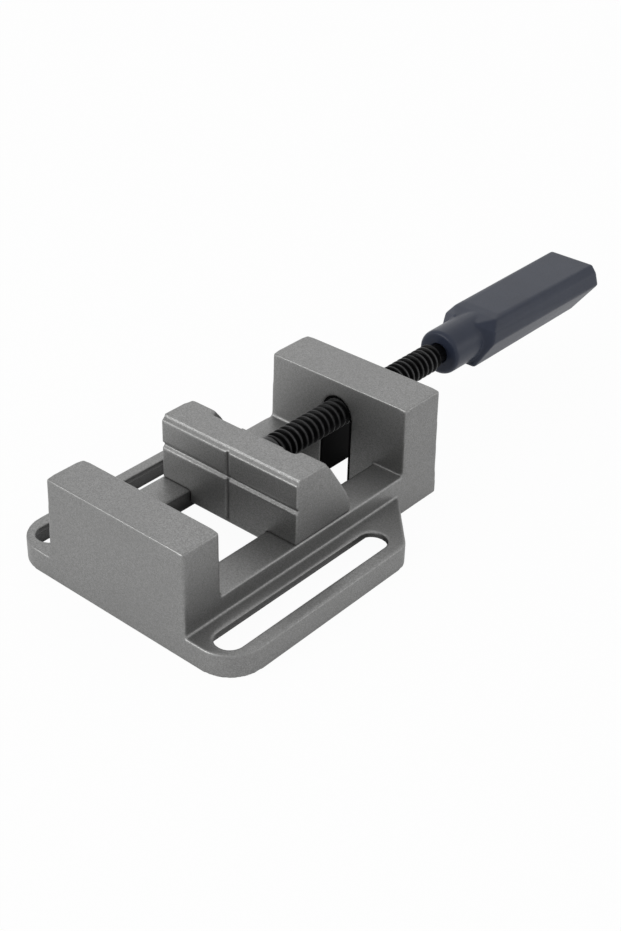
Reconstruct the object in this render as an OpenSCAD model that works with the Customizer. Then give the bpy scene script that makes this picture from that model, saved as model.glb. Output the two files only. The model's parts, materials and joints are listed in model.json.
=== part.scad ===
/* [Base casting] */
// Overall width of the base across both flanges
base_w = 133; // [128:1:140]
// Height of the flange's top face above the underside
flange_h = 11.4; // [10:0.2:13]
// Thickness of the flange's web at the slots
web_t = 3.2; // [2.6:0.2:4]
// Thickness of the skirt round the flange
skirt_t = 3.2; // [3:0.1:5]
// Radius of the flange's front corners
front_corner_r = 17; // [10:1:20]
// Radius of the flange's rear corners
rear_corner_r = 9; // [6:1:12]
// Angle of the flange's rear edges to the base's width
rear_cut_angle = 47; // [35:1:55]
// Distance from the front face to the flange's rear corner
rear_corner_from_front = 110.5; // [108:0.5:114]
// Draft of the casting's side and end faces
draft = 0.9; // [0.5:0.1:1.5]

/* [Fixing slots] */
// Width of each fixing slot
slot_w = 13.2; // [11:0.2:14]
// Length of each fixing slot, end to end
slot_len = 104; // [90:1:106]
// Width of the rim outside each slot
slot_rim = 6.3; // [5.5:0.1:7.5]
// Distance from the front face to the slots
slot_margin = 5.6; // [5:0.1:7]

/* [Fixed jaw and rails] */
// Width of the body and jaws at the underside
body_w = 81.2; // [78:0.2:84]
// How far the fixed jaw's top lies below the moving jaw's
fixed_jaw_below = 1.1; // [0:0.1:4]
// Thickness of the fixed jaw
fixed_jaw_t = 21.5; // [18:0.5:25]
// Wall thickness inside the hollow jaw and block
cast_wall = 4.6; // [4:0.1:5.5]
// Height of the rails' sliding face above the underside
rail_h = 20.4; // [19:0.2:22]
// Thickness of the rails' ledges
ledge_t = 9.1; // [8:0.1:10]
// Gap between the two rails
rail_gap = 46; // [44:0.5:50]
// Length of the rails between fixed jaw and rear block
rail_len = 120; // [116:1:130]

/* [Rear block] */
// Thickness of the metal over the block's arch
block_cover = 8.5; // [8:0.1:10]
// Thickness of the rear block
block_t = 26; // [24:0.5:32]
// Height of the spindle's axis above the underside
axis_h = 38; // [36.5:0.1:39]
// Width of the block's slot below the spindle's axis
block_slot_w = 18; // [16.8:0.2:19]
// Radius of the arch over the spindle
arch_r = 8.3; // [8:0.1:8.8]
// Width of the half nut
nut_w = 32; // [30:0.5:34]
// Width of the half nut's own slot, below the spindle's axis
nut_slot_w = 15.6; // [15.4:0.1:16]
// Clearance between the half nut's nose and the block's slot
nut_nose_gap = 0.15; // [0.1:0.05:0.25]
// Thickness of the ribs beside the half nut
nut_rib_t = 3.8; // [3:0.2:5]
// Clearance between the half nut and its pocket
nut_gap = 0.1; // [0.05:0.05:0.2]
// Half of the angle that the half nut's teeth span
tooth_half_angle = 40; // [30:1:45]

/* [Spindle] */
// Outer diameter of the spindle's thread
thread_d = 14; // [13.6:0.1:14.4]
// Pitch of the spindle's thread
thread_pitch = 3.75; // [3.5:0.25:4.5]
// Depth of the thread
thread_depth = 1.9; // [1.6:0.1:2.1]
// Clearance between the spindle's thread and the half nut's teeth
thread_gap = 0.25; // [0.2:0.05:0.3]
// Visible length of the spindle, from the barrel's washer to the handle
spindle_len = 129.9; // [124:0.1:134]
// Length of the plain neck between the thread and the handle
neck_len = 5; // [3:0.5:8]
// Diameter of the journal in the swivel barrel
journal_d = 9; // [8:0.2:9.2]
// Running clearance of journals and trunnions, on the radius
run_gap = 0.05; // [0.02:0.01:0.08]
// Diameter of the spindle's tail inside the handle
tail_d = 10; // [9:0.2:10]
// Length of the spindle's tail inside the handle
tail_len = 46; // [40:1:60]

/* [Moving jaw] */
// Opening between the jaws as photographed
jaw_opening = 46.2; // [40:0.1:60]
// Thickness of the metal over the moving jaw's pocket
jaw_cover = 6.7; // [6.4:0.1:9]
// Width of the moving jaw
jaw_w = 79.6; // [78:0.2:82]
// Thickness of the moving jaw at its top
jaw_top_t = 19.4; // [18:0.1:20]
// Thickness of the moving jaw at its foot
jaw_foot_t = 36.3; // [34:0.1:38]
// How far the rear slope's lower end lies below the spindle's axis
jaw_slope_below = 10.7; // [9:0.1:12]
// Width of the recess in the middle of the rear face
recess_w = 49; // [46:1:52]
// Depth of that recess
recess_t = 3.5; // [2.5:0.5:4]
// Height of the step along the clamping face's top
ledge_h = 1; // [0.8:0.1:2]
// Depth of that step
ledge_in = 1.9; // [1:0.1:2.5]
// How far the step's floor slopes down towards the clamping face
ledge_drop = 1.5; // [0.5:0.1:2.5]
// How far the horizontal prism groove lies below the spindle's axis
groove_below = 0.5; // [-1:0.1:2]
// Width of the horizontal prism groove
groove_w = 3.2; // [2.4:0.2:4]
// Width of the upright prism groove
upright_groove_w = 2; // [1.6:0.2:3.2]
// Clearance between jaw and rails
slide_gap = 0.1; // [0.05:0.05:0.2]
// Clearance between the jaw's tongue and the rails
tongue_gap = 0.3; // [0.2:0.1:0.5]
// Height of the tongue's front part above the underside
tongue_h = 14.2; // [13.6:0.2:15]
// Length of that raised front part
tongue_front = 9; // [8:0.5:10]

/* [Swivel and keeper] */
// Distance from the clamping face to the barrel's axis
barrel_back = 14.8; // [14.8:0.1:15.6]
// Diameter of the swivel barrel
barrel_d = 15; // [14.6:0.1:15.2]
// Length of the barrel's thick middle
barrel_len = 15.4; // [15:0.2:15.6]
// Diameter of the barrel's trunnions
trunnion_d = 7; // [6:0.2:7.4]
// Overall length over the trunnions
trunnion_span = 30.4; // [29.6:0.2:30.8]
// Wire diameter of the tilt springs
spring_wire = 1.5; // [1.2:0.1:1.5]
// Mean radius of the tilt springs
spring_r = 5.6; // [5.2:0.1:5.8]
// Turns of each tilt spring
spring_turns = 1.75; // [1.25:0.5:1.75]
// Thickness of the keeper plate
keeper_t = 3.5; // [3:0.25:4]
// Clearance between the keeper plate and the channel's walls
keeper_side_gap = 3; // [1:0.5:6]
// Distance between the keeper screws across the jaw
keeper_screw_x = 38.4; // [37.6:0.2:39]
// Distance between the keeper screws along the jaw
keeper_screw_y = 13; // [12:0.5:13.5]
// Length of the keeper screws above the keeper plate
keeper_screw_grip = 12.5; // [10:0.5:13]

/* [Handle] */
// Diameter of the handle's collar
collar_d = 23.2; // [22:0.2:24]
// Length of the collar in front of the grip
collar_len = 23; // [20:0.5:26]
// Length of the grip
grip_len = 99; // [90:1:110]
// Width of the grip's flat top
grip_top_w = 27; // [25:0.5:29]
// Greatest width of the grip at its end
grip_w = 35.4; // [33:0.2:38]
// Width of the grip's flat underside at its end
grip_under_w = 23.6; // [21:0.2:26]
// Height of the grip at its shoulders
grip_h = 24.4; // [23:0.2:27]
// Height that the grip loses towards its end
grip_taper = 2.4; // [1:0.2:3]
// How far the grip's underside stops short of its end
end_rake = 16.5; // [10:0.5:20]
// Radius of the grip's edges
grip_edge_r = 1.3; // [0.8:0.1:1.8]
// Diameter of the anchor pin through the spindle's tail
anchor_d = 4; // [3:0.5:5]
// Length of the anchor pin
anchor_len = 19; // [14:1:20]

/* [Hidden] */

// Far enough for a cut to pass right through
cut = 0.5;
far = 400;
round_fn = 64;

// Places along the vise, from the middle of the fixing slots
slot_spacing = base_w - 2 * slot_rim - slot_w;
y_front = -(slot_margin + slot_len / 2);
y_fixed = y_front + fixed_jaw_t;
y_block = y_fixed + rail_len;
y_rear = y_block + block_t;
y_jaw = y_fixed + jaw_opening;
y_barrel = y_jaw + barrel_back;

// Base casting
base_half = base_w / 2;
body_half = body_w / 2;
web_z = flange_h - web_t;
ledge_z = rail_h - ledge_t;
rib_gap_half = nut_w / 2 + nut_gap;
wall_lean = tan(draft);

// Heights that follow the spindle's axis
pocket_over = 8;
block_h = axis_h + arch_r + block_cover;
jaw_h = axis_h + pocket_over + jaw_cover;
fixed_jaw_h = jaw_h - fixed_jaw_below;
jaw_slope_h = axis_h - jaw_slope_below;
groove_h = axis_h - groove_below;

// Half nut and its screws
nut_front = y_block + cast_wall + nut_gap;
nut_rear = y_rear - cast_wall - nut_gap;
nut_top = block_h - cast_wall - nut_gap;
nut_foot = 0.6;
nut_screw_x = 12;
nut_screw_z = axis_h + 7.4;
screw_r = 2;
screw_gap = 0.05;
csk_r = 4;
csk_h = 2.2;
nut_screw_len = 15;
socket_r = 1.45;

// Thread
major_r = thread_d / 2;
minor_r = major_r - thread_depth;
flank = 15;
steps = 20;

// Spindle along its axis
washer_t = 1.5;
ring_t = 1.2;
ring_r = 6.6;
flat_back = barrel_d / 2 - 1;
y_shoulder = y_barrel + flat_back + washer_t + 0.05;
y_thread = y_shoulder + 0.5;
y_collar = y_shoulder + spindle_len;
nose_washer_t = 1;
y_ring = y_barrel - flat_back - nose_washer_t - 0.1 - ring_t;
y_nose = y_ring - 1;
shoulder_r = major_r + 0.2;
shoulder_len = 5.5;
groove_r = journal_d / 2 - 0.6;

// Moving jaw
jaw_foot_z = rail_h + slide_gap;
keeper_top = ledge_z - 0.3;
tongue_half = rail_gap / 2 - tongue_gap;
y_tongue = y_jaw + tongue_front;
y_foot = y_jaw + jaw_foot_t;
pocket_half = 8;
spring_half = 12.5;
trunnion_half = trunnion_span / 2;
keeper_screw_mid = y_tongue + 13.75;
keeper_w = body_w - 2 * cast_wall - 2 * keeper_side_gap;
keeper_front_gap = 0.4;
keeper_rear_gap = 0.5;
tip_gap = 1.5;
pocket_step = 2.1;
pocket_step_at = barrel_d / 2 - 2.1;
tang_in = 1.5;
leg_top = 1.5;
leg_len = 8.5;
washer_r = 3.9;
lock_washer_t = 1;
head_r = 3.5;
head_h = 2.6;

// Cut a profile's first axis along Y and its second along Z, and sweep it across X
module across_x(half) {
  rotate([90, 0, 90]) translate([0, 0, -half]) linear_extrude(2 * half) children();
}

// Cylinder along Y from y0 to y1 at the spindle's height
module rod_y(r, y0, y1) {
  translate([0, y0, axis_h]) rotate([-90, 0, 0]) cylinder(r = r, h = y1 - y0, $fn = round_fn);
}

// Cylinder along X at the barrel's axis
module rod_x(r, x0, x1) {
  translate([x0, y_barrel, axis_h]) rotate([0, 90, 0]) cylinder(r = r, h = x1 - x0, $fn = round_fn);
}

// Outline of the flange, drawn in by inset on every side
module flange_outline(inset) {
  w = base_half - inset;
  c1 = [base_half - front_corner_r, y_front + front_corner_r];
  t = rear_corner_r * tan((90 - rear_cut_angle) / 2);
  c2 = [base_half - rear_corner_r, y_front + rear_corner_from_front - t];
  r1 = front_corner_r - inset;
  r2 = rear_corner_r - inset;
  p4 = c2 + r2 * [sin(rear_cut_angle), cos(rear_cut_angle)];
  run = p4.x - body_half + 5;
  p5 = p4 + run * [-1, tan(rear_cut_angle)];
  for (side = [-1, 1]) scale([side, 1]) {
    polygon([
      [0, y_front + inset], [c1.x, y_front + inset], c1, [w, c1.y],
      [w, c2.y], c2, p4, p5, [0, p5.y]
    ]);
    translate(c1) circle(r = r1, $fn = round_fn);
    translate(c2) circle(r = r2, $fn = round_fn);
  }
}

// Prism along Y with the drafted sides of the body, up to height h
module drafted_sides(h, y0, y1) {
  top = body_half - h * wall_lean;
  translate([0, y1, 0]) rotate([90, 0, 0]) linear_extrude(y1 - y0)
    polygon([[-body_half, 0], [body_half, 0], [top, h], [-top, h]]);
}

// Inverted U through a wall: straight sides below the axis and an arch above it
module block_slot(y0, y1) {
  rod_y(arch_r, y0, y1);
  translate([-block_slot_w / 2, y0, -cut]) cube([block_slot_w, y1 - y0, axis_h + cut]);
}

// Fixing slots, cut right through the flange
module fixing_slots() {
  reach = slot_len / 2 - slot_w / 2;
  for (side = [-1, 1]) translate([side * slot_spacing / 2, 0, -cut])
    linear_extrude(flange_h + 2 * cut) {
      square([slot_w, 2 * reach], center = true);
      for (end = [-1, 1]) translate([0, end * reach]) circle(d = slot_w, $fn = round_fn);
    }
}

// Hollow of the fixed jaw, in two cells with a rib between them
module fixed_jaw_hollow() {
  cell_w = body_half - cast_wall - 1 - nut_rib_t / 2;
  for (side = [-1, 1]) translate([side * (nut_rib_t / 2 + cell_w / 2), 0, 0])
    translate([-cell_w / 2, y_front + cast_wall + 0.6, -cut])
      cube([cell_w, fixed_jaw_t - 2 * cast_wall - 0.6, fixed_jaw_h - cast_wall + cut]);
}

// Hollow of the rear block: the half nut's pocket and a cell each side of it
module rear_block_hollow() {
  depth = block_t - 2 * cast_wall;
  cell_x = rib_gap_half + nut_rib_t;
  cell_w = body_half - cast_wall - 1 - cell_x;
  translate([-rib_gap_half, y_block + cast_wall, -cut])
    cube([2 * rib_gap_half, depth, block_h - cast_wall + cut]);
  for (side = [-1, 1])
    translate([side * (cell_x + cell_w / 2) - cell_w / 2, y_block + cast_wall, -cut])
      cube([cell_w, depth, block_h - cast_wall + cut]);
}

// Countersunk hole for a half nut screw, from the block's rear face
module nut_screw_holes() {
  for (side = [-1, 1]) translate([side * nut_screw_x, y_rear + cut, nut_screw_z]) rotate([90, 0, 0]) {
    cylinder(r = screw_r + screw_gap, h = cast_wall + 2 * cut, $fn = round_fn);
    cylinder(r = csk_r + screw_gap, h = nut_screw_sink() + cut, $fn = round_fn);
    translate([0, 0, nut_screw_sink() + cut])
      cylinder(r1 = csk_r + screw_gap, r2 = screw_r + screw_gap, h = csk_h, $fn = round_fn);
  }
}

// How far a countersunk head lies below the block's drafted rear face at the base
function nut_screw_sink() = nut_screw_z * wall_lean + 0.2;

module base_casting() {
  color("#8c8d8b") difference() {
    union() {
      linear_extrude(flange_h) flange_outline(0);
      drafted_sides(rail_h, y_front, y_rear - cast_wall);
      intersection() {
        drafted_sides(fixed_jaw_h, y_front, y_fixed);
        across_x(far / 2) polygon([
          [y_front, 0], [y_fixed, 0], [y_fixed, fixed_jaw_h],
          [y_front + (fixed_jaw_h - rail_h) * wall_lean, fixed_jaw_h], [y_front, rail_h]
        ]);
      }
      intersection() {
        drafted_sides(block_h, y_block, y_rear);
        across_x(far / 2) polygon([
          [y_block, 0], [y_rear, 0], [y_rear - block_h * wall_lean, block_h], [y_block, block_h]
        ]);
      }
    }
    // Hollow under the flanges, outside the rails' side walls
    difference() {
      translate([0, 0, -cut]) linear_extrude(web_z + cut) flange_outline(skirt_t);
      translate([-body_half, y_front - cut, -2 * cut]) cube([body_w, far, flange_h]);
    }
    fixing_slots();
    // Channel under the rails' ledges, and the gap between the rails
    translate([-body_half + cast_wall, y_fixed, -cut])
      cube([body_w - 2 * cast_wall, rail_len, ledge_z + cut]);
    translate([-rail_gap / 2, y_fixed, 0]) cube([rail_gap, rail_len, rail_h + cut]);
    fixed_jaw_hollow();
    rear_block_hollow();
    block_slot(y_block - cut, y_rear + cut);
    nut_screw_holes();
  }
}

// Half width of a nut tooth at radius r, along the spindle
function tooth_half(r) = thread_pitch / 4 + (r - major_r + thread_depth / 2) * tan(flank) - thread_gap;

// One tooth of the half nut: a short stretch of the mating helix
module nut_tooth(y_mid) {
  r_in = minor_r + thread_gap;
  r_out = major_r + 1.2;
  pieces = 10;
  function at(r, off, a) = [
    r * sin(a), y_mid + off + thread_pitch * a / 360, axis_h + r * cos(a)
  ];
  rows = [for (i = [0:pieces]) let (a = -tooth_half_angle + 2 * tooth_half_angle * i / pieces) [
    at(r_in, -tooth_half(r_in), a), at(r_in, tooth_half(r_in), a),
    at(r_out, tooth_half(r_out), a), at(r_out, -tooth_half(r_out), a)
  ]];
  polyhedron(
    points = [for (row = rows) each row],
    faces = concat(
      [[0, 1, 2, 3]],
      [for (i = [0:pieces - 1], j = [0:3]) let (k = 4 * i, n = (j + 1) % 4)
        each [[k + j, k + 4 + j, k + n], [k + 4 + j, k + 4 + n, k + n]]],
      [[for (j = [3:-1:0]) 4 * pieces + j]]
    )
  );
}

// Nose of the half nut, which lines the slot in the block's front wall
module nut_nose() {
  y0 = y_block + 0.25;
  half = block_slot_w / 2 - nut_nose_gap;
  rod_y(arch_r - nut_nose_gap, y0, nut_front + cut);
  translate([-half, y0, nut_foot])
    cube([2 * half, nut_front + cut - y0, axis_h - nut_nose_gap - nut_foot]);
}

module half_nut() {
  // A tooth sits in the middle of each groove of the spindle's thread
  first = ceil((nut_front + thread_pitch / 2 - groove_y()) / thread_pitch);
  last = floor((nut_rear - thread_pitch / 2 - groove_y()) / thread_pitch);
  color("#1b1b1c") {
    difference() {
      union() {
        translate([-nut_w / 2, nut_front, nut_foot])
          cube([nut_w, nut_rear - nut_front, nut_top - nut_foot]);
        nut_nose();
      }
      rod_y(major_r + 0.5, y_block - cut, nut_rear + cut);
      translate([-nut_slot_w / 2, y_block - cut, -cut])
        cube([nut_slot_w, nut_rear - y_block + 2 * cut, axis_h + cut]);
      nut_screw_bores();
    }
    for (i = [first:last]) nut_tooth(groove_y() + i * thread_pitch);
  }
}

// Tapped holes in the half nut, drawn at the screws' diameter
module nut_screw_bores() {
  for (side = [-1, 1]) translate([side * nut_screw_x, nut_rear + cut, nut_screw_z])
    rotate([90, 0, 0]) cylinder(r = screw_r + screw_gap, h = nut_screw_len, $fn = round_fn);
}

module half_nut_screws() {
  head_y = y_rear - nut_screw_sink();
  color("#2a2a2c") for (side = [-1, 1]) translate([side * nut_screw_x, head_y, nut_screw_z])
    rotate([90, 0, 0]) difference() {
      union() {
        cylinder(r1 = csk_r, r2 = screw_r, h = csk_h, $fn = round_fn);
        cylinder(r = screw_r, h = nut_screw_len - 1, $fn = round_fn);
      }
      translate([0, 0, -cut]) cylinder(r = socket_r, h = 1.8 + cut, $fn = 6);
    }
}

// Profile of the moving jaw from the side, the rear drawn in by inset
function jaw_profile(inset) = [
  [y_jaw, jaw_foot_z],
  [y_jaw, jaw_h - ledge_h - ledge_drop],
  [y_jaw + ledge_in, jaw_h - ledge_h],
  [y_jaw + ledge_in, jaw_h],
  [y_jaw + jaw_top_t - inset, jaw_h],
  [y_foot - inset, jaw_slope_h],
  [y_foot - inset, jaw_foot_z]
];

// Recess in the middle of the rear face, which leaves a boss round the spindle
module jaw_recess() {
  boss_half = 12.5;
  boss_top = axis_h + 9.4;
  floor_z = jaw_foot_z + 3.6;
  difference() {
    across_x(recess_w / 2) difference() {
      polygon([
        [y_jaw + jaw_top_t - recess_t, floor_z], [y_foot + cut, floor_z],
        [y_foot + cut, jaw_h + cut], [y_jaw + jaw_top_t - recess_t, jaw_h + cut]
      ]);
      polygon(jaw_profile(recess_t));
    }
    translate([-boss_half, y_jaw, 0]) cube([2 * boss_half, jaw_foot_t + 2, boss_top]);
  }
}

// Hollow under each end of the moving jaw, over the rails
module jaw_hollows() {
  inner = recess_w / 2 + 0.5;
  width = jaw_w / 2 - cast_wall - inner;
  for (side = [-1, 1]) translate([side * (inner + width / 2), 0, 0]) across_x(width / 2) polygon([
    [y_jaw + cast_wall, jaw_foot_z - cut],
    [y_jaw + cast_wall, jaw_h - 4.8],
    [y_jaw + jaw_top_t - 2, jaw_h - 4.8],
    [y_foot - cast_wall, jaw_slope_h - 1.3],
    [y_foot - cast_wall, jaw_foot_z - cut]
  ]);
}

// Pocket for spindle, barrel, springs and cradle, open from below
module jaw_pocket() {
  low = keeper_top - cut;
  spring_out = spring_r + spring_wire / 2;
  across_x(pocket_half) polygon([
    [y_nose - 0.6, low], [y_nose - 0.6, axis_h + pocket_over],
    [y_barrel + pocket_step_at, axis_h + pocket_over],
    [y_barrel + pocket_step_at, axis_h + pocket_over - pocket_step],
    [y_foot + cut, axis_h + pocket_over - pocket_step], [y_foot + cut, low]
  ]);
  rod_y(major_r + 0.9, y_barrel, y_foot + cut);
  across_x(spring_half) translate([y_barrel - spring_out - 0.05, low])
    square([2 * spring_out + 0.4, axis_h + spring_out + 0.35 - low]);
  across_x(trunnion_half + 0.2) translate([y_barrel - trunnion_d / 2 - run_gap, low])
    square([trunnion_d + 2 * run_gap, axis_h - low]);
  rod_x(trunnion_d / 2 + run_gap, -trunnion_half - 0.2, trunnion_half + 0.2);
}

// Places of the four keeper screws
module at_keeper_screws(z) {
  for (side = [-1, 1], end = [-1, 1])
    translate([side * keeper_screw_x / 2, keeper_screw_mid + end * keeper_screw_y / 2, z]) children();
}

module moving_jaw() {
  groove_in = groove_w / 2;
  upright_in = upright_groove_w / 2;
  color("#8c8d8b") difference() {
    union() {
      across_x(jaw_w / 2) polygon(jaw_profile(0));
      across_x(tongue_half) polygon([
        [y_jaw, tongue_h], [y_tongue, tongue_h], [y_tongue, keeper_top],
        [y_foot, keeper_top], [y_foot, jaw_foot_z + 1], [y_jaw, jaw_foot_z + 1]
      ]);
    }
    jaw_recess();
    jaw_hollows();
    jaw_pocket();
    // Prism grooves, one across the clamping face and one up its middle
    across_x(far / 2) polygon([
      [y_jaw - cut, groove_h - groove_in - cut], [y_jaw + groove_in, groove_h],
      [y_jaw - cut, groove_h + groove_in + cut]
    ]);
    translate([0, 0, tongue_h + 1.5]) linear_extrude(jaw_h) polygon([
      [-upright_in - cut, y_jaw - cut], [upright_in + cut, y_jaw - cut], [0, y_jaw + upright_in]
    ]);
    at_keeper_screws(keeper_top - cut)
      cylinder(r = screw_r + screw_gap, h = keeper_screw_grip + tip_gap, $fn = round_fn);
  }
}

module swivel_barrel() {
  color("#9a9c9e") difference() {
    union() {
      intersection() {
        rod_x(barrel_d / 2, -barrel_len / 2, barrel_len / 2);
        translate([-far / 2, y_barrel - flat_back, 0]) cube([far, 2 * flat_back, far]);
      }
      rod_x(trunnion_d / 2, -trunnion_half, trunnion_half);
    }
    rod_y(journal_d / 2 + run_gap, y_barrel - barrel_d, y_barrel + barrel_d);
    // Holes for the springs' tangs in the barrel's ends
    for (side = [-1, 1]) scale([side, 1, 1])
      translate([barrel_len / 2 - tang_in - 0.2, y_barrel, axis_h]) rotate([tang_at(), 0, 0])
        translate([0, spring_r, 0]) rotate([0, 90, 0])
          cylinder(r = spring_wire / 2 + 0.1, h = tang_in + 0.2 + cut, $fn = 24);
  }
}

// Angle of a spring's tang round the trunnion, from the rear upwards
function tang_at() = 180 - 360 * spring_turns;

// Tube along a path of points in planes that turn with it
module tube(path, r, sides = 8) {
  n = len(path);
  function dir(i) = let (d = path[min(i + 1, n - 1)] - path[max(i - 1, 0)]) d / norm(d);
  function ring(i) = let (
    d = dir(i),
    ref = abs(d.x) > 0.75 ? [0, 1, 0] : [1, 0, 0],
    u0 = cross(d, ref),
    u = u0 / norm(u0),
    v = cross(d, u)
  ) [for (k = [0:sides - 1]) let (a = 360 * k / sides) path[i] + r * (cos(a) * u + sin(a) * v)];
  polyhedron(
    points = [for (i = [0:n - 1]) each ring(i)],
    faces = concat(
      [[for (k = [0:sides - 1]) k]],
      [for (i = [0:n - 2], k = [0:sides - 1]) let (a = i * sides, b = (k + 1) % sides)
        each [[a + k, a + sides + k, a + b], [a + sides + k, a + sides + b, a + b]]],
      [[for (k = [sides - 1:-1:0]) (n - 1) * sides + k]]
    )
  );
}

// Torsion spring round one trunnion: wound wire with a straight leg against the pocket's wall
module tilt_spring(side) {
  parts = 36;
  x_in = barrel_len / 2 + 0.15 + spring_wire / 2;
  run = spring_turns * (spring_wire + 0.12);
  wound = [for (i = [0:parts]) let (a = tang_at() + 360 * spring_turns * i / parts)
    [side * (x_in + run * i / parts), y_barrel + spring_r * cos(a), axis_h + spring_r * sin(a)]];
  leg = [for (dz = [leg_top, leg_top + leg_len]) [side * (x_in + run), y_barrel - spring_r, axis_h - dz]];
  color("#b0b2b4") union() {
    tube(concat(wound, leg), spring_wire / 2);
    translate([0, wound[0].y, wound[0].z]) rotate([0, side * 90, 0])
      translate([0, 0, barrel_len / 2 - tang_in])
        cylinder(r = spring_wire / 2 - 0.02, h = x_in - barrel_len / 2 + tang_in, $fn = 24);
  }
}

module tilt_spring_left() {
  tilt_spring(-1);
}

module tilt_spring_right() {
  tilt_spring(1);
}

module barrel_cradle() {
  half_t = trunnion_d / 2 - 0.1;
  seat_in = spring_half + 0.2;
  color("#55575a") difference() {
    translate([-trunnion_half, y_barrel - half_t, keeper_top])
      cube([2 * trunnion_half, 2 * half_t, axis_h - 0.6 - keeper_top]);
    translate([-seat_in, y_barrel - half_t - cut, axis_h - barrel_d / 2 - 0.7])
      cube([2 * seat_in, 2 * half_t + 2 * cut, far]);
    rod_x(trunnion_d / 2 + run_gap, -trunnion_half - cut, trunnion_half + cut);
    // Notches that clear the springs' legs
    notch_w = spring_half - pocket_half + 0.4;
    notch_h = leg_top + leg_len + 2;
    for (side = [-1, 1])
      translate([side * (spring_half + pocket_half) / 2 - notch_w / 2, y_barrel - half_t - cut, 0])
        translate([0, 0, axis_h - notch_h]) cube([notch_w, 1 + cut, notch_h]);
  }
}

module keeper_plate() {
  color("#6d6f70") difference() {
    translate([-keeper_w / 2, y_tongue + keeper_front_gap, keeper_top - keeper_t])
      cube([keeper_w, jaw_foot_t - tongue_front - keeper_front_gap - keeper_rear_gap, keeper_t]);
    at_keeper_screws(0) cylinder(r = screw_r + screw_gap, h = far, $fn = round_fn);
  }
}

module keeper_screws() {
  head_z = keeper_top - keeper_t - lock_washer_t - head_h;
  color("#2a2a2c") difference() {
    union() {
      at_keeper_screws(head_z) cylinder(r = head_r, h = head_h, $fn = round_fn);
      at_keeper_screws(head_z)
        cylinder(r = screw_r, h = keeper_top + keeper_screw_grip - head_z, $fn = round_fn);
    }
    at_keeper_screws(head_z - cut) cylinder(r = socket_r, h = 1.6 + cut, $fn = 6);
  }
}

module keeper_washers() {
  color("#b0b2b4") at_keeper_screws(keeper_top - keeper_t - lock_washer_t) difference() {
    cylinder(r = washer_r, h = lock_washer_t, $fn = round_fn);
    translate([0, 0, -cut]) cylinder(r = screw_r + screw_gap, h = far, $fn = round_fn);
  }
}

// Middle of one of the spindle's grooves at the top of the spindle
function groove_y() = y_thread + (thread_pitch / 2 - thread_depth * tan(flank)) / 2;

// Right-hand thread from y_thread to the neck, as one closed skin
module spindle_thread() {
  flank_w = thread_depth * tan(flank);
  flat_w = thread_pitch / 2 - flank_w;
  prof = [
    [0, minor_r], [flat_w, minor_r], [flat_w + flank_w, major_r],
    [2 * flat_w + flank_w, major_r]
  ];
  n = floor((y_collar - neck_len - y_thread - thread_pitch) / thread_pitch * steps);
  function at(i, k) = let (a = 360 * i / steps) [
    prof[k][1] * sin(a),
    y_thread + thread_pitch * i / steps + prof[k][0],
    axis_h + prof[k][1] * cos(a)
  ];
  // Rows hold four points each; a row's end meets the start of the row one turn on
  pts = concat(
    [for (i = [0:n], k = [0:3]) at(i, k)],
    [for (i = [n + 1:n + steps]) at(i, 0)],
    [[0, y_thread + thread_pitch / 2, axis_h]],
    [[0, y_thread + thread_pitch * (n / steps + 0.5), axis_h]]
  );
  function id(i, k) = k < 4 ? (i <= n ? 4 * i + k : 4 * (n + 1) + (i - n - 1)) : id(i + steps, 0);
  c0 = 4 * (n + 1) + steps;
  c1 = c0 + 1;
  polyhedron(points = pts, faces = concat(
    [for (i = [0:n - 1], k = [0:3])
      each [
        [id(i, k), id(i, k + 1), id(i + 1, k)],
        [id(i + 1, k), id(i, k + 1), id(i + 1, k + 1)]
      ]],
    [for (i = [0:steps - 1]) [c0, id(i, 0), id(i + 1, 0)]],
    [for (k = [0:3]) [c0, id(0, k + 1), id(0, k)]],
    [for (i = [n:n + steps - 1]) [c1, id(i + 1, 0), id(i, 0)]],
    [for (k = [0:3]) [c1, id(n, k), id(n, k + 1)]]
  ));
}

module spindle() {
  color("#1d1d1f") difference() {
    union() {
      spindle_thread();
      rod_y(shoulder_r, y_shoulder, y_shoulder + shoulder_len);
      rod_y(journal_d / 2, y_nose, y_shoulder + 1);
      rod_y(tail_d / 2, y_collar - neck_len - thread_pitch - 3, y_collar + tail_len);
    }
    // Groove for the retaining ring
    translate([0, y_ring - 0.05, axis_h]) rotate([-90, 0, 0]) difference() {
      cylinder(r = journal_d, h = ring_t + 0.1, $fn = round_fn);
      translate([0, 0, -cut]) cylinder(r = groove_r, h = ring_t + 2 * cut, $fn = round_fn);
    }
    anchor_hole();
  }
}

// Hole for the anchor pin through tail and grip
module anchor_hole() {
  translate([-anchor_len / 2 - 0.1, y_anchor(), axis_h]) rotate([0, 90, 0])
    cylinder(r = anchor_d / 2 + 0.03, h = anchor_len + 0.2, $fn = round_fn);
}

function y_anchor() = y_collar + tail_len - 9;

// Ring round the spindle's axis, from y to y + t
module ring_y(r_out, r_in, y, t) {
  difference() {
    rod_y(r_out, y, y + t);
    rod_y(r_in, y - cut, y + t + cut);
  }
}

module thrust_washer() {
  color("#b0b2b4") ring_y(shoulder_r, journal_d / 2 + run_gap, y_shoulder - washer_t, washer_t);
}

module nose_washer() {
  color("#b0b2b4") ring_y(ring_r, journal_d / 2 + run_gap, y_ring + ring_t + 0.05, nose_washer_t);
}

module retaining_ring() {
  color("#2a2a2c") difference() {
    ring_y(ring_r, groove_r + 0.03, y_ring, ring_t);
    translate([-1.6, y_ring - cut, axis_h - ring_r - cut]) cube([3.2, ring_t + 2 * cut, ring_r]);
  }
}

module handle_anchor_pin() {
  color("#b0b2b4") translate([-anchor_len / 2, y_anchor(), axis_h]) rotate([0, 90, 0])
    cylinder(r = anchor_d / 2, h = anchor_len, $fn = round_fn);
}

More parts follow.
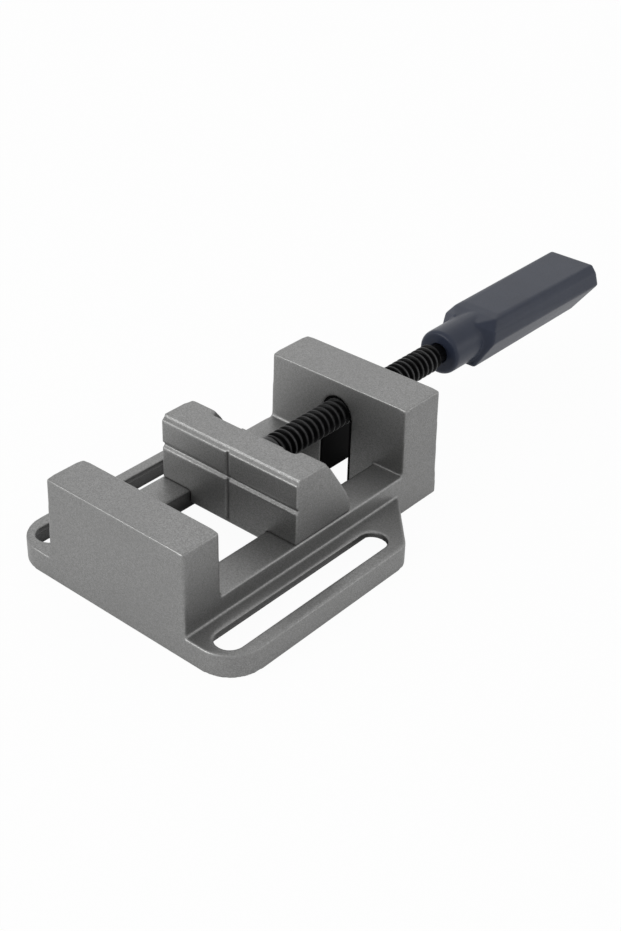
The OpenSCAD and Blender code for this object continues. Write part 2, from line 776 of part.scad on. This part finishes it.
// Ball in the hull of the grip, its outer side at the given corner
module grip_ball(x, y, z) {
  translate([x, y, z]) sphere(r = grip_edge_r, $fn = 20);
}

// Tapering grip with flat top, bevelled sides, and a front that bows round the collar
module grip_body() {
  e = grip_edge_r;
  y0 = y_collar + collar_len;
  y1 = y0 + grip_len;
  top0 = axis_h + grip_h / 2 - 0.2;
  top1 = axis_h + (grip_h - grip_taper) / 2;
  low0 = axis_h - grip_h / 2 - 0.2;
  low1 = axis_h - (grip_h - grip_taper) / 2;
  brow = 1.5;
  hull() {
    for (side = [-1, 1]) scale([side, 1, 1]) {
      grip_ball(grip_top_w / 4, y0 - 1.2 + e, top0 - brow - e);
      grip_ball(grip_top_w / 2 - 0.4 - e, y0 + 6.7 + e, top0 - brow / 4 - e);
      grip_ball(grip_top_w / 2 - 2 - e, y0 + 13.5, top0 - e);
      grip_ball(grip_w / 2 - 1.7 - e, y0 + 1.6 + e, axis_h + 0.8);
      grip_ball(grip_w / 2 - 2.2 - e, y0 + 2.7 + e, axis_h + 6.7);
      grip_ball(grip_under_w / 2 - 1.8 - e, y0 - 4.5 + e, low0 + e);
      grip_ball(grip_top_w / 2 - e, y1 - e, top1 - e);
      grip_ball(grip_w / 2 - e, y1 - e, axis_h + 0.8);
      grip_ball(grip_w / 2 - 1.7 - e, y1 - e, axis_h + 6.5);
      grip_ball(grip_under_w / 2 - e, y1 - end_rake + e, low1 + e);
    }
  }
}

module handle() {
  color("#44464f") difference() {
    union() {
      translate([0, y_collar, axis_h]) rotate([-90, 0, 0]) rotate_extrude($fn = round_fn) {
        translate([0, 2]) square([collar_d / 2, collar_len + 6]);
        square([collar_d / 2 - 2, 3]);
        translate([collar_d / 2 - 2, 2]) circle(r = 2, $fn = 32);
      }
      grip_body();
    }
    rod_y(tail_d / 2 + 0.02, y_collar - cut, y_collar + tail_len + 0.1);
    anchor_hole();
  }
}

base_casting();
half_nut();
half_nut_screws();
moving_jaw();
swivel_barrel();
tilt_spring_left();
tilt_spring_right();
barrel_cradle();
keeper_plate();
keeper_screws();
keeper_washers();
spindle();
thrust_washer();
nose_washer();
retaining_ring();
handle_anchor_pin();
handle();
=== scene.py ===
import json
import math
import bpy
import numpy as np
from mathutils import Matrix, Vector


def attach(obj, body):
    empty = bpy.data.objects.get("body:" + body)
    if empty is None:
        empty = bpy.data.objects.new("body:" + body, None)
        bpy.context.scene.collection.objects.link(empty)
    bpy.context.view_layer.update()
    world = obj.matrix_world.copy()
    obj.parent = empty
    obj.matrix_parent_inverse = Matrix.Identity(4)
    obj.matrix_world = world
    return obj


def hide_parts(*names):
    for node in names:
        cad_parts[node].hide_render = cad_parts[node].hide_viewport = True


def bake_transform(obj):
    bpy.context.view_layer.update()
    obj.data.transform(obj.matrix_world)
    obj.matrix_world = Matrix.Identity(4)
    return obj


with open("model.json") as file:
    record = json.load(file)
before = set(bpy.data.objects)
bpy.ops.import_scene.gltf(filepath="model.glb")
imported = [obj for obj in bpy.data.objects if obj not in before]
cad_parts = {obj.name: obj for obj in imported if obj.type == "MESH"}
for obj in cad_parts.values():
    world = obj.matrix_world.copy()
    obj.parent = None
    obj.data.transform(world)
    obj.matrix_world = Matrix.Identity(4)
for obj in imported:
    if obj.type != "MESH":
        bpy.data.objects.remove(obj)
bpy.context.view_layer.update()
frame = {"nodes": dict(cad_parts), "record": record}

# Looks of a quick-release vise: finer skins for the castings, handle and spindle, and the materials
NODES = frame["nodes"]
MM = 0.001


def reach(node, axis):
    """Lowest and highest place of a CAD node along an axis, in mm."""
    places = [corner[axis] / MM for corner in NODES[node].bound_box]
    return round(min(places), 2), round(max(places), 2)


# Sizes of the spindle, in mm
PITCH = 3.75
CREST_R = 7.0
ROOT_R = 5.1
FLANK_DEG = 15.0
SHOULDER_R = 7.2
SHOULDER_LEN = 5.5
JOURNAL_R = 4.5
RING_GROOVE_R = 3.9
RING_GROOVE_W = 1.3
TAIL_R = 5.0
NECK_LEN = 5.0
TAIL_LEN = 46.0
THREAD_STEP = 0.25
SIDES = 56
RUN_OUT_LEN = 1.5

# Play between the retaining ring and the sides of its groove, in mm
RING_PLAY = 0.05

# The spindle's height and the places along it, in mm
AXIS_Z = sum(reach("thrust_washer", 2)) / 2
Y_NOSE = reach("spindle", 1)[0]
Y_RING = reach("retaining_ring", 1)[0] - RING_PLAY
Y_SHOULDER = reach("thrust_washer", 1)[1]
Y_THREAD = Y_SHOULDER + 0.5
Y_COLLAR = reach("handle", 1)[0]
Y_NECK = Y_COLLAR - NECK_LEN
ROOT_W = PITCH / 2 - (CREST_R - ROOT_R) * math.tan(math.radians(FLANK_DEG))
Y_GROOVE = round(Y_THREAD + ROOT_W / 2, 3)

# Lengths of the castings along the spindle, and how far their upright faces lean in, in mm
FIXED_LEN = 21.5
BLOCK_LEN = 26.0
JAW_TOP_LEN = 19.4
DRAFT = 0.5

# Places on the castings, in mm
Y_FRONT, Y_REAR = reach("base_casting", 1)
Y_FIXED = Y_FRONT + FIXED_LEN
Y_BLOCK = Y_REAR - BLOCK_LEN
Y_JAW, Y_FOOT = reach("moving_jaw", 1)
Y_JAW_TOP = Y_JAW + JAW_TOP_LEN
BLOCK_TOP = reach("base_casting", 2)[1]
FIXED_TOP = 51.6
TOP_HALF = 39.7
JAW_TOP = reach("moving_jaw", 2)[1]
JAW_SLOPE_Z = 27.3
STEP_Z = JAW_TOP - 2.5
JAW_HALF = reach("moving_jaw", 0)[1]
RAIL_Z = 20.4
RAIL_IN = 23.0
FLANGE_TOP = 11.2

# The fixing slots' middle line, and from there to the inside of the skirt round the flange
SLOT_X = 53.6
SKIRT_IN = 10.1


# Helpers for shapes

def add_object(name, data):
    """New object in the scene for a mesh, a lamp or a camera."""
    ob = bpy.data.objects.new(name, data)
    bpy.context.scene.collection.objects.link(ob)
    return ob


def mesh_from(name, verts, faces):
    """New object from points in mm and the faces between them."""
    me = bpy.data.meshes.new(name)
    me.from_pydata([tuple(c * MM for c in v) for v in verts], [], faces)
    me.validate()
    return add_object(name, me)


def points_of(ob):
    """An object's points, one row of x, y and z each, in metres."""
    co = np.empty(len(ob.data.vertices) * 3)
    ob.data.vertices.foreach_get("co", co)
    return co.reshape(-1, 3)


def shade_smooth(ob):
    ob.data.polygons.foreach_set("use_smooth", [True] * len(ob.data.polygons))


def tube_rings(rings):
    """Points and faces of a closed tube through rings of equal length, in order."""
    n = len(rings[0])
    verts = [point for ring in rings for point in ring]
    faces = []
    for i in range(len(rings) - 1):
        for k in range(n):
            a = i * n + k
            b = i * n + (k + 1) % n
            faces.append((a, b, b + n, a + n))
    faces.append(tuple(reversed(range(n))))
    faces.append(tuple(range((len(rings) - 1) * n, len(rings) * n)))
    return verts, faces


# Materials

class Mat:
    """A node material with short calls for the nodes that it uses."""

    def __init__(self, name):
        self.mat = bpy.data.materials.new(name)
        self.mat.use_nodes = True
        self.tree = self.mat.node_tree
        self.tree.nodes.clear()
        self.out = self.node("ShaderNodeOutputMaterial")
        self.bsdf = self.node("ShaderNodeBsdfPrincipled")
        self.link(self.bsdf.outputs[0], self.out.inputs[0])
        self.coord = self.node("ShaderNodeTexCoord").outputs["Object"]

    def node(self, kind, **props):
        n = self.tree.nodes.new(kind)
        for k, v in props.items():
            setattr(n, k, v)
        return n

    def link(self, a, b):
        self.tree.links.new(a, b)

    def place(self):
        """Places along x, y and z in the object's own space, in metres."""
        sep = self.node("ShaderNodeSeparateXYZ")
        self.link(self.coord, sep.inputs[0])
        return sep.outputs

    def facing(self):
        """Parts of the surface's direction along x, y and z, without bump."""
        sep = self.node("ShaderNodeSeparateXYZ")
        self.link(self.node("ShaderNodeTexCoord").outputs["Normal"], sep.inputs[0])
        return sep.outputs

    def noise(self, scale, detail=2.0, rough=0.5, stretch=None):
        texture = self.node("ShaderNodeTexNoise")
        texture.inputs["Scale"].default_value = scale
        texture.inputs["Detail"].default_value = detail
        texture.inputs["Roughness"].default_value = rough
        source = self.coord
        if stretch:
            mapping = self.node("ShaderNodeMapping")
            mapping.inputs["Scale"].default_value = stretch
            self.link(self.coord, mapping.inputs["Vector"])
            source = mapping.outputs[0]
        self.link(source, texture.inputs["Vector"])
        return texture.outputs[0]

    def cells(self, scale):
        """A random value for each small cell."""
        texture = self.node("ShaderNodeTexVoronoi")
        texture.inputs["Scale"].default_value = scale
        self.link(self.coord, texture.inputs["Vector"])
        sep = self.node("ShaderNodeSeparateColor")
        self.link(texture.outputs["Color"], sep.inputs[0])
        return sep.outputs[0]

    def remap(self, value, low, high, to_low, to_high):
        """Value's range low to high stretched to to_low to to_high, and held at its ends."""
        node = self.node("ShaderNodeMapRange")
        for i, number in zip((1, 2, 3, 4), (low, high, to_low, to_high)):
            node.inputs[i].default_value = number
        self.link(value, node.inputs[0])
        return node.outputs[0]

    def math(self, op, a, b=0.0):
        node = self.node("ShaderNodeMath", operation=op)
        for i, value in enumerate((a, b)):
            if isinstance(value, (int, float)):
                node.inputs[i].default_value = value
            else:
                self.link(value, node.inputs[i])
        return node.outputs[0]

    def times(self, *factors):
        """Product of values and numbers."""
        product = factors[0]
        for factor in factors[1:]:
            product = self.math("MULTIPLY", product, factor)
        return product

    def mix(self, share, a, b):
        """Colour a where share is 0, and colour b where it is 1."""
        node = self.node("ShaderNodeMix", data_type="RGBA")
        for socket, value in ((node.inputs[0], share), (node.inputs[6], a), (node.inputs[7], b)):
            if isinstance(value, tuple):
                socket.default_value = (*value, 1.0)
            else:
                self.link(value, socket)
        return node.outputs[2]

    def from_axis(self, low, high):
        """0 up to the radius low round the spindle's axis, and 1 from high, in mm."""
        x, _, height = self.place()
        z = self.math("SUBTRACT", height, AXIS_Z * MM)
        square = self.math("ADD", self.times(x, x), self.times(z, z))
        return self.remap(self.math("POWER", square, 0.5), low * MM, high * MM, 0.0, 1.0)

    def level_at(self, z):
        """1 on faces that look up at the height z, in mm, and 0 elsewhere."""
        off = self.math("ABSOLUTE", self.math("SUBTRACT", self.place()[2], z * MM))
        up = self.remap(self.facing()[2], 0.93, 0.99, 0.0, 1.0)
        return self.times(up, self.remap(off, 0.2 * MM, 0.5 * MM, 1.0, 0.0))

    def on_slot_walls(self):
        """Up to 1 on the fixing slots' walls and on the skirt's inside below them."""
        x, y, z = self.place()
        nx, ny, _ = self.facing()
        off = self.math("SUBTRACT", self.math("ABSOLUTE", x), SLOT_X * MM)
        outward = self.times(self.math("SIGN", x), nx)
        # Below 0 on walls that look at the slot's middle
        turned = self.math("ADD", self.times(off, outward), self.times(y, ny))
        looks_in = self.remap(turned, -1.0 * MM, 0.0, 1.0, 0.0)
        near = self.remap(self.math("ABSOLUTE", off), SKIRT_IN * MM, (SKIRT_IN + 0.2) * MM, 1.0, 0.0)
        low = self.remap(z, (FLANGE_TOP - 1.4) * MM, FLANGE_TOP * MM, 0.6, 0.0)
        return self.times(looks_in, near, low)

    def on_rail_sides(self):
        """Up to 1 on the rails' inner sides, less towards their top."""
        x, _, z = self.place()
        sideways = self.remap(self.math("ABSOLUTE", self.facing()[0]), 0.8, 0.95, 0.0, 1.0)
        from_middle = self.math("ABSOLUTE", x)
        between = self.remap(from_middle, (RAIL_IN + 0.3) * MM, (RAIL_IN + 0.5) * MM, 1.0, 0.0)
        low = self.remap(z, (RAIL_Z - 6.4) * MM, (RAIL_Z - 0.4) * MM, 1.0, 0.35)
        return self.times(sideways, between, low)

    def in_upright_groove(self):
        """Up to 1 in the moving jaw's upright groove."""
        x, y, z = self.place()
        narrow = self.remap(self.math("ABSOLUTE", x), 0.9 * MM, 1.3 * MM, 0.6, 0.0)
        sunk = self.remap(y, (Y_JAW + 0.2) * MM, (Y_JAW + 0.6) * MM, 0.0, 1.0)
        shallow = self.remap(y, (Y_JAW + 2.0) * MM, (Y_JAW + 2.5) * MM, 1.0, 0.0)
        below_step = self.remap(z, (STEP_Z - 0.2) * MM, (STEP_Z + 0.2) * MM, 1.0, 0.0)
        return self.times(narrow, sunk, shallow, below_step)

    def painted_shade(self):
        """Up to 1 where the castings shade themselves: the mask of their painted shade."""
        walls = self.math("MAXIMUM", self.on_slot_walls(), self.on_rail_sides())
        return self.math("MAXIMUM", walls, self.in_upright_groove())

    def edges(self, width, hollow):
        """Close to 1 along the outer edges of a finely meshed shape, up to hollow in its inner
        corners and 0 on its flats."""
        point = self.node("ShaderNodeNewGeometry").outputs["Pointiness"]
        outer = self.remap(point, 0.504, 0.504 + width, 0.0, 1.0)
        inner = self.remap(point, 0.496, 0.496 - width, 0.0, hollow)
        return self.math("ADD", outer, inner)

    def bump(self, height, strength, distance):
        node = self.node("ShaderNodeBump")
        node.inputs["Strength"].default_value = strength
        node.inputs["Distance"].default_value = distance
        self.link(height, node.inputs["Height"])
        self.link(node.outputs[0], self.bsdf.inputs["Normal"])

    def surface(self, color, rough, metallic, specular=0.5):
        self.link(color, self.bsdf.inputs["Base Color"])
        self.link(rough, self.bsdf.inputs["Roughness"])
        self.bsdf.inputs["Metallic"].default_value = metallic
        self.bsdf.inputs["Specular IOR Level"].default_value = specular


def cast_aluminium():
    """Satin casting with metallic speckle, edges lighter from wear and painted highlight, painted shade
    in hollows, and milled rails.
    """
    m = Mat("cast_aluminium_look")
    flake = m.cells(2600.0)
    grain = m.noise(1700.0, 2.0, 0.6)
    cloud = m.noise(30.0, 3.0, 0.55)
    speck = m.math("ADD", m.times(flake, 0.4), m.times(grain, 0.6))
    tone = m.mix(m.remap(speck, 0.3, 0.7, 0.0, 1.0), (0.184, 0.184, 0.182), (0.272, 0.272, 0.269))
    shade = m.mix(m.remap(cloud, 0.35, 0.65, 0.0, 0.3), tone, (0.2, 0.2, 0.198))
    patch = m.remap(m.noise(260.0, 3.0, 0.6), 0.3, 0.6, 0.4, 1.0)
    # Lighter edges: outer edges from wear and painted highlight, inner corners from painted highlight
    # alone
    wear_and_highlight = m.times(m.edges(0.05, 0.12), patch)
    skin = m.mix(m.times(wear_and_highlight, 0.12), shade, (0.46, 0.46, 0.455))
    # Painted shade: the slot walls, the rails' inner sides and the upright groove are darkened towards
    # black
    color = m.mix(m.times(m.painted_shade(), 0.9), skin, (0.03, 0.03, 0.03))
    rough = m.math("SUBTRACT", m.remap(speck, 0.2, 0.8, 0.52, 0.4), m.times(wear_and_highlight, 0.08))
    m.surface(color, rough, metallic=0.92)
    # The rails' sliding faces are milled, so they are less grainy than the cast skin
    cast = m.math("SUBTRACT", 1.0, m.times(m.level_at(RAIL_Z), 0.6))
    height = m.math("ADD", m.times(grain, 0.7), m.times(m.noise(480.0, 2.0), 0.5))
    m.bump(m.times(height, cast), strength=0.3, distance=0.00012)
    return m.mat


def black_steel(worn_and_highlit):
    """Blackened steel; on the worn copy the thread's crests are lighter, partly rubbed wear and partly
    painted highlight.
    """
    m = Mat("black_steel_worn_highlit" if worn_and_highlit else "black_steel_look")
    grain = m.noise(900.0, 3.0, 0.6)
    cloud = m.remap(m.noise(60.0), 0.3, 0.7, 0.0, 1.0)
    tone = m.mix(cloud, (0.0025, 0.0025, 0.0028), (0.005, 0.005, 0.0054))
    if worn_and_highlit:
        patch = m.remap(m.noise(130.0, 2.0), 0.35, 0.65, 0.3, 1.0)
        fine = m.remap(grain, 0.3, 0.6, 0.6, 1.0)
        crest = m.from_axis(CREST_R - 0.25, CREST_R - 0.07)
        # Lighter crests: rubbed wear and painted highlight
        tone = m.mix(m.times(crest, patch, fine, 0.5), tone, (0.13, 0.13, 0.133))
    rough = m.remap(grain, 0.3, 0.7, 0.3, 0.46)
    m.surface(tone, rough, metallic=0.0, specular=0.12 if worn_and_highlit else 0.02)
    m.bump(grain, strength=0.15, distance=0.00005)
    return m.mat


def bare_steel():
    """Bright steel with fine turning lines."""
    m = Mat("bare_steel_look")
    lines = m.noise(300.0, 4.0, 0.6, stretch=(1.0, 8.0, 8.0))
    tone = m.mix(m.remap(lines, 0.3, 0.7, 0.0, 1.0), (0.36, 0.365, 0.37), (0.52, 0.525, 0.53))
    m.surface(tone, m.remap(lines, 0.3, 0.7, 0.28, 0.42), metallic=0.95)
    m.bump(lines, strength=0.12, distance=0.00004)
    return m.mat


def handle_plastic():
    """Moulded plastic with a satin grain, slightly lighter along its edges from wear and painted
    highlight.
    """
    m = Mat("handle_plastic_look")
    grain = m.noise(1900.0, 2.0, 0.55)
    cloud = m.noise(55.0, 3.0, 0.6)
    tone = m.mix(m.remap(cloud, 0.3, 0.7, 0.0, 1.0), (0.02, 0.026, 0.045), (0.027, 0.034, 0.056))
    # Lighter edges: wear and painted highlight
    wear_and_highlight = m.times(m.edges(0.06, 0.0), m.remap(grain, 0.3, 0.7, 0.4, 1.0))
    color = m.mix(m.times(wear_and_highlight, 0.25), tone, (0.09, 0.1, 0.13))
    m.surface(color, m.remap(grain, 0.3, 0.7, 0.3, 0.4), metallic=0.0, specular=0.25)
    m.bump(grain, strength=0.16, distance=0.00005)
    return m.mat


LOOKS = {
    "cast_aluminium": cast_aluminium(),
    "black_steel": black_steel(False),
    "bare_steel": bare_steel(),
    "handle_plastic": handle_plastic(),
}
WORN_HIGHLIT_STEEL = black_steel(True)
SLOT_OF = {s["node"]: s["material_slot"] for s in frame["record"]["subparts"]}


def paint(ob, slot):
    """Give an object the look of a material slot and no other."""
    ob.data.materials.clear()
    ob.data.materials.append(LOOKS[slot])


for node_name, node_ob in NODES.items():
    paint(node_ob, SLOT_OF[node_name])


# Cast and moulded parts with softened edges

def finished(ob):
    """Apply an object's modifiers."""
    graph = bpy.context.evaluated_depsgraph_get()
    shaped = bpy.data.meshes.new_from_object(ob.evaluated_get(graph))
    ob.modifiers.clear()
    ob.data = shaped


def weigh(ob, lines, spread):
    """Vertex group that is 1 along the lines and 0 from spread outwards, in mm."""
    co = points_of(ob) / MM
    near = np.full(len(co), spread)
    for a, b in lines:
        a, b = np.array(a), np.array(b)
        t = np.clip((co - a) @ (b - a) / ((b - a) @ (b - a)), 0.0, 1.0)
        near = np.minimum(near, np.linalg.norm(co - a - t[:, None] * (b - a), axis=1))
    weight = np.clip(1.6 * (1.0 - near / spread), 0.0, 1.0)
    group = ob.vertex_groups.new(name="tips")
    for i in np.nonzero(weight)[0]:
        group.add([int(i)], float(weight[i]), "REPLACE")


def press_flat(ob, low, high):
    """Lower the points inside a box, in mm, to its floor, so that what slides there has room."""
    co = points_of(ob)
    inside = np.all((co > np.array(low) * MM) & (co < np.array(high) * MM), axis=1)
    co[inside, 2] = low[2] * MM
    ob.data.vertices.foreach_set("co", co.ravel())
    ob.data.update()


def soft_copy(node, name, body, voxel, rounds, tips=(), spread=4.0, more=0):
    """The CAD solid's own shape with its edges and inner corners rounded, as a casting's are.

    More rounds smooth it more, and near the lines in tips there are that many rounds more."""
    ob = add_object(name, NODES[node].data.copy())
    rem = ob.modifiers.new("remesh", "REMESH")
    rem.mode = "VOXEL"
    rem.voxel_size = voxel * MM
    finished(ob)
    if tips:
        weigh(ob, tips, spread)
        round_off = ob.modifiers.new("tips", "SMOOTH")
        round_off.factor = 0.5
        round_off.iterations = more
        round_off.vertex_group = "tips"
    soft = ob.modifiers.new("soften", "SMOOTH")
    soft.factor = 0.5
    soft.iterations = rounds
    finished(ob)
    ob.vertex_groups.clear()
    shade_smooth(ob)
    slot = SLOT_OF[node]
    paint(ob, slot)
    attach(ob, body)
    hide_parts(node)
    return ob


def both_sides(lines):
    """The lines on the right side and their mirror images on the left."""
    return [tuple((s * x, y, z) for x, y, z in line) for line in lines for s in (-1, 1)]


# Room over the rails for the moving jaw's foot when it is fully open
JAW_ROOM = (
    (-JAW_HALF - 0.2, Y_BLOCK - 2.0, RAIL_Z + 0.04),
    (JAW_HALF + 0.2, Y_BLOCK - 0.3, RAIL_Z + 2.0),
)

# Lines along which the corners are rounder: the upright edges of the fixed jaw and the block, and
# the rear edges of the moving jaw's top and foot
BASE_TIPS = both_sides([
    ((40.5, Y_FRONT + 0.1, 14.0), (TOP_HALF, Y_FRONT + DRAFT + 0.1, FIXED_TOP)),
    ((40.2, Y_FIXED, 22.0), (TOP_HALF, Y_FIXED, FIXED_TOP)),
    ((40.2, Y_BLOCK, 22.0), (TOP_HALF, Y_BLOCK, BLOCK_TOP)),
    ((40.4, Y_REAR - 0.2, 14.0), (TOP_HALF, Y_REAR - 0.8, BLOCK_TOP)),
])
JAW_TIPS = [
    ((-JAW_HALF, Y_JAW_TOP, JAW_TOP), (JAW_HALF, Y_JAW_TOP, JAW_TOP)),
    ((-JAW_HALF, Y_FOOT, JAW_SLOPE_Z), (JAW_HALF, Y_FOOT, JAW_SLOPE_Z)),
]


# Spindle

def thread_radius(turns):
    """Radius of the rounded thread form, with the middle of its root at whole turns, in mm."""
    share = min(1.0, max(0.0, 0.42 - 0.66 * math.cos(2 * math.pi * turns)))
    eased = share * share * (3 - 2 * share)
    return ROOT_R + eased * (CREST_R - ROOT_R)


def spindle_outline():
    """Places along the spindle with their radius, or None where the thread gives it."""
    y_run_in = Y_THREAD + SHOULDER_LEN - 0.5
    rows = [(Y_NOSE, RING_GROOVE_R), (Y_NOSE + 0.5, JOURNAL_R)]
    rows += [(Y_RING, JOURNAL_R), (Y_RING, RING_GROOVE_R)]
    rows += [(Y_RING + RING_GROOVE_W, RING_GROOVE_R), (Y_RING + RING_GROOVE_W, JOURNAL_R)]
    rows += [(Y_SHOULDER, JOURNAL_R), (Y_SHOULDER, SHOULDER_R - 0.3), (Y_SHOULDER + 0.3, SHOULDER_R)]
    rows += [(y_run_in - 0.3, SHOULDER_R), (y_run_in, CREST_R)]
    steps = math.ceil((Y_NECK - y_run_in) / THREAD_STEP)
    rows += [(y_run_in + i * THREAD_STEP, None) for i in range(steps)]
    rows += [(Y_NECK, TAIL_R), (Y_COLLAR + TAIL_LEN - 0.8, TAIL_R), (Y_COLLAR + TAIL_LEN, TAIL_R - 0.6)]
    return rows


def spindle_look():
    """The spindle from nose to tail in one closed skin, with its thread as a helix."""
    rings = []
    for y, plain_r in spindle_outline():
        ring = []
        for k in range(SIDES):
            turn = k / SIDES
            r = plain_r
            if r is None:
                run_out = min(1.0, (Y_NECK - y) / RUN_OUT_LEN)
                r = ROOT_R + run_out * (thread_radius((y - Y_GROOVE) / PITCH - turn) - ROOT_R)
            angle = 2 * math.pi * turn
            ring.append((r * math.sin(angle), y, AXIS_Z + r * math.cos(angle)))
        rings.append(ring)
    verts, faces = tube_rings(rings)
    ob = mesh_from("spindle_thread", verts, faces)
    shade_smooth(ob)
    ob.data.set_sharp_from_angle(angle=math.radians(50))
    ob.data.materials.append(WORN_HIGHLIT_STEEL)
    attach(ob, "screw")
    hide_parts("spindle")


# Tilt springs

def spring_look(side):
    """A torsion spring copied from its CAD node into world space, in place of that node."""
    node = "tilt_spring_" + side
    spring = add_object("spring_" + side, NODES[node].data.copy())
    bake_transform(spring)
    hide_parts(node)


# Stage, lights and camera

def add_floor():
    """White floor that takes the object's shadow, and that metal mirrors as bright as the world."""
    half = 4.0
    corners = [(-half, -half, 0), (half, -half, 0), (half, half, 0), (-half, half, 0)]
    me = bpy.data.meshes.new("floor")
    me.from_pydata(corners, [], [(0, 1, 2, 3)])
    floor = add_object("floor", me)
    floor.location.z = -0.2 * MM
    m = Mat("floor_look")
    m.bsdf.inputs["Base Color"].default_value = (0.9, 0.9, 0.9, 1)
    m.bsdf.inputs["Roughness"].default_value = 0.9
    m.bsdf.inputs["Specular IOR Level"].default_value = 0.1
    glow = m.node("ShaderNodeEmission")
    glow.inputs["Strength"].default_value = 1.0
    path = m.node("ShaderNodeLightPath")
    mirrored = m.math("MAXIMUM", path.outputs["Is Glossy Ray"], path.outputs["Is Transmission Ray"])
    # Painted shade: ambient occlusion dims the glow that metal mirrors, so the floor stays as dark
    # under the casting as it is there
    shade = m.node("ShaderNodeAmbientOcclusion", samples=4)
    shade.inputs["Distance"].default_value = 0.05
    mirrored = m.times(mirrored, m.remap(shade.outputs["AO"], 0.12, 0.8, 0.0, 0.9))
    seen = m.math("ADD", m.times(path.outputs["Is Camera Ray"], 0.96), mirrored)
    blend = m.node("ShaderNodeMixShader")
    m.link(seen, blend.inputs[0])
    m.link(m.bsdf.outputs[0], blend.inputs[1])
    m.link(glow.outputs[0], blend.inputs[2])
    m.link(blend.outputs[0], m.out.inputs[0])
    floor.data.materials.append(m.mat)


def add_world():
    """White world, dimmer as a light than where camera, mirror and clear rays see it."""
    world = bpy.data.worlds.new("studio")
    bpy.context.scene.world = world
    world.use_nodes = True
    tree = world.node_tree
    tree.nodes.clear()

    def background(strength):
        node = tree.nodes.new("ShaderNodeBackground")
        node.inputs[0].default_value = (1, 1, 1, 1)
        node.inputs[1].default_value = strength
        return node

    def larger(a, b):
        node = tree.nodes.new("ShaderNodeMath")
        node.operation = "MAXIMUM"
        tree.links.new(a, node.inputs[0])
        tree.links.new(b, node.inputs[1])
        return node.outputs[0]

    out = tree.nodes.new("ShaderNodeOutputWorld")
    light = background(0.62)
    white = background(1.0)
    path = tree.nodes.new("ShaderNodeLightPath")
    blend = tree.nodes.new("ShaderNodeMixShader")
    direct = larger(path.outputs["Is Camera Ray"], path.outputs["Is Glossy Ray"])
    seen = larger(direct, path.outputs["Is Transmission Ray"])
    tree.links.new(seen, blend.inputs[0])
    tree.links.new(light.outputs[0], blend.inputs[1])
    tree.links.new(white.outputs[0], blend.inputs[2])
    tree.links.new(blend.outputs[0], out.inputs[0])


def add_lamp(name, place, target, diameter, power):
    """Round area lamp at a place, in metres, that looks at its target."""
    data = bpy.data.lights.new(name, "AREA")
    data.shape = "DISK"
    data.size = diameter
    data.energy = power
    ob = add_object(name, data)
    ob.location = place
    ob.rotation_euler = (Vector(target) - Vector(place)).to_track_quat("-Z", "Y").to_euler()


def add_camera():
    """Camera as fitted to the photograph: its place in metres, angles in degrees, and the
    photograph's height and focal length in its pixels."""
    place = (0.37855, -0.39032, 0.39724)
    azimuth = 41.0322
    elevation = 31.0128
    roll = 0.9527
    photo_h_px = 931.0
    focal_px = 1521.0
    data = bpy.data.cameras.new("camera")
    data.sensor_fit = "VERTICAL"
    data.sensor_height = 36.0
    data.lens = focal_px * data.sensor_height / photo_h_px
    data.shift_x = 0.0322
    data.shift_y = -0.0475
    data.clip_start = 0.05
    data.clip_end = 20.0
    ob = add_object("camera", data)
    matrix = Matrix.Translation(place)
    for angle, axis in ((azimuth, "Z"), (90.0 - elevation, "X"), (roll, "Z")):
        matrix = matrix @ Matrix.Rotation(math.radians(angle), 4, axis)
    ob.matrix_world = matrix
    bpy.context.scene.camera = ob


base_body = soft_copy("base_casting", "base_body", "base", 0.5, 9, BASE_TIPS, spread=4.0, more=30)
press_flat(base_body, *JAW_ROOM)
soft_copy("moving_jaw", "jaw_body", "jaw", 0.45, 7, JAW_TIPS, spread=5.0, more=60)
soft_copy("handle", "handle_body", "screw", 0.5, 9)
spindle_look()
spring_look("left")
spring_look("right")
add_floor()
add_world()
add_lamp("key", (-0.75, 0.8, 1.0), (0, 0.05, 0.02), diameter=1.0, power=1.0)
add_lamp("fill", (-0.45, -1.2, 0.3), (0, 0.0, 0.02), diameter=0.8, power=9.0)
add_lamp("side", (1.1, 1.0, 0.3), (0, 0.1, 0.03), diameter=0.7, power=1.5)
add_camera()
bpy.context.scene.view_settings.view_transform = "Standard"
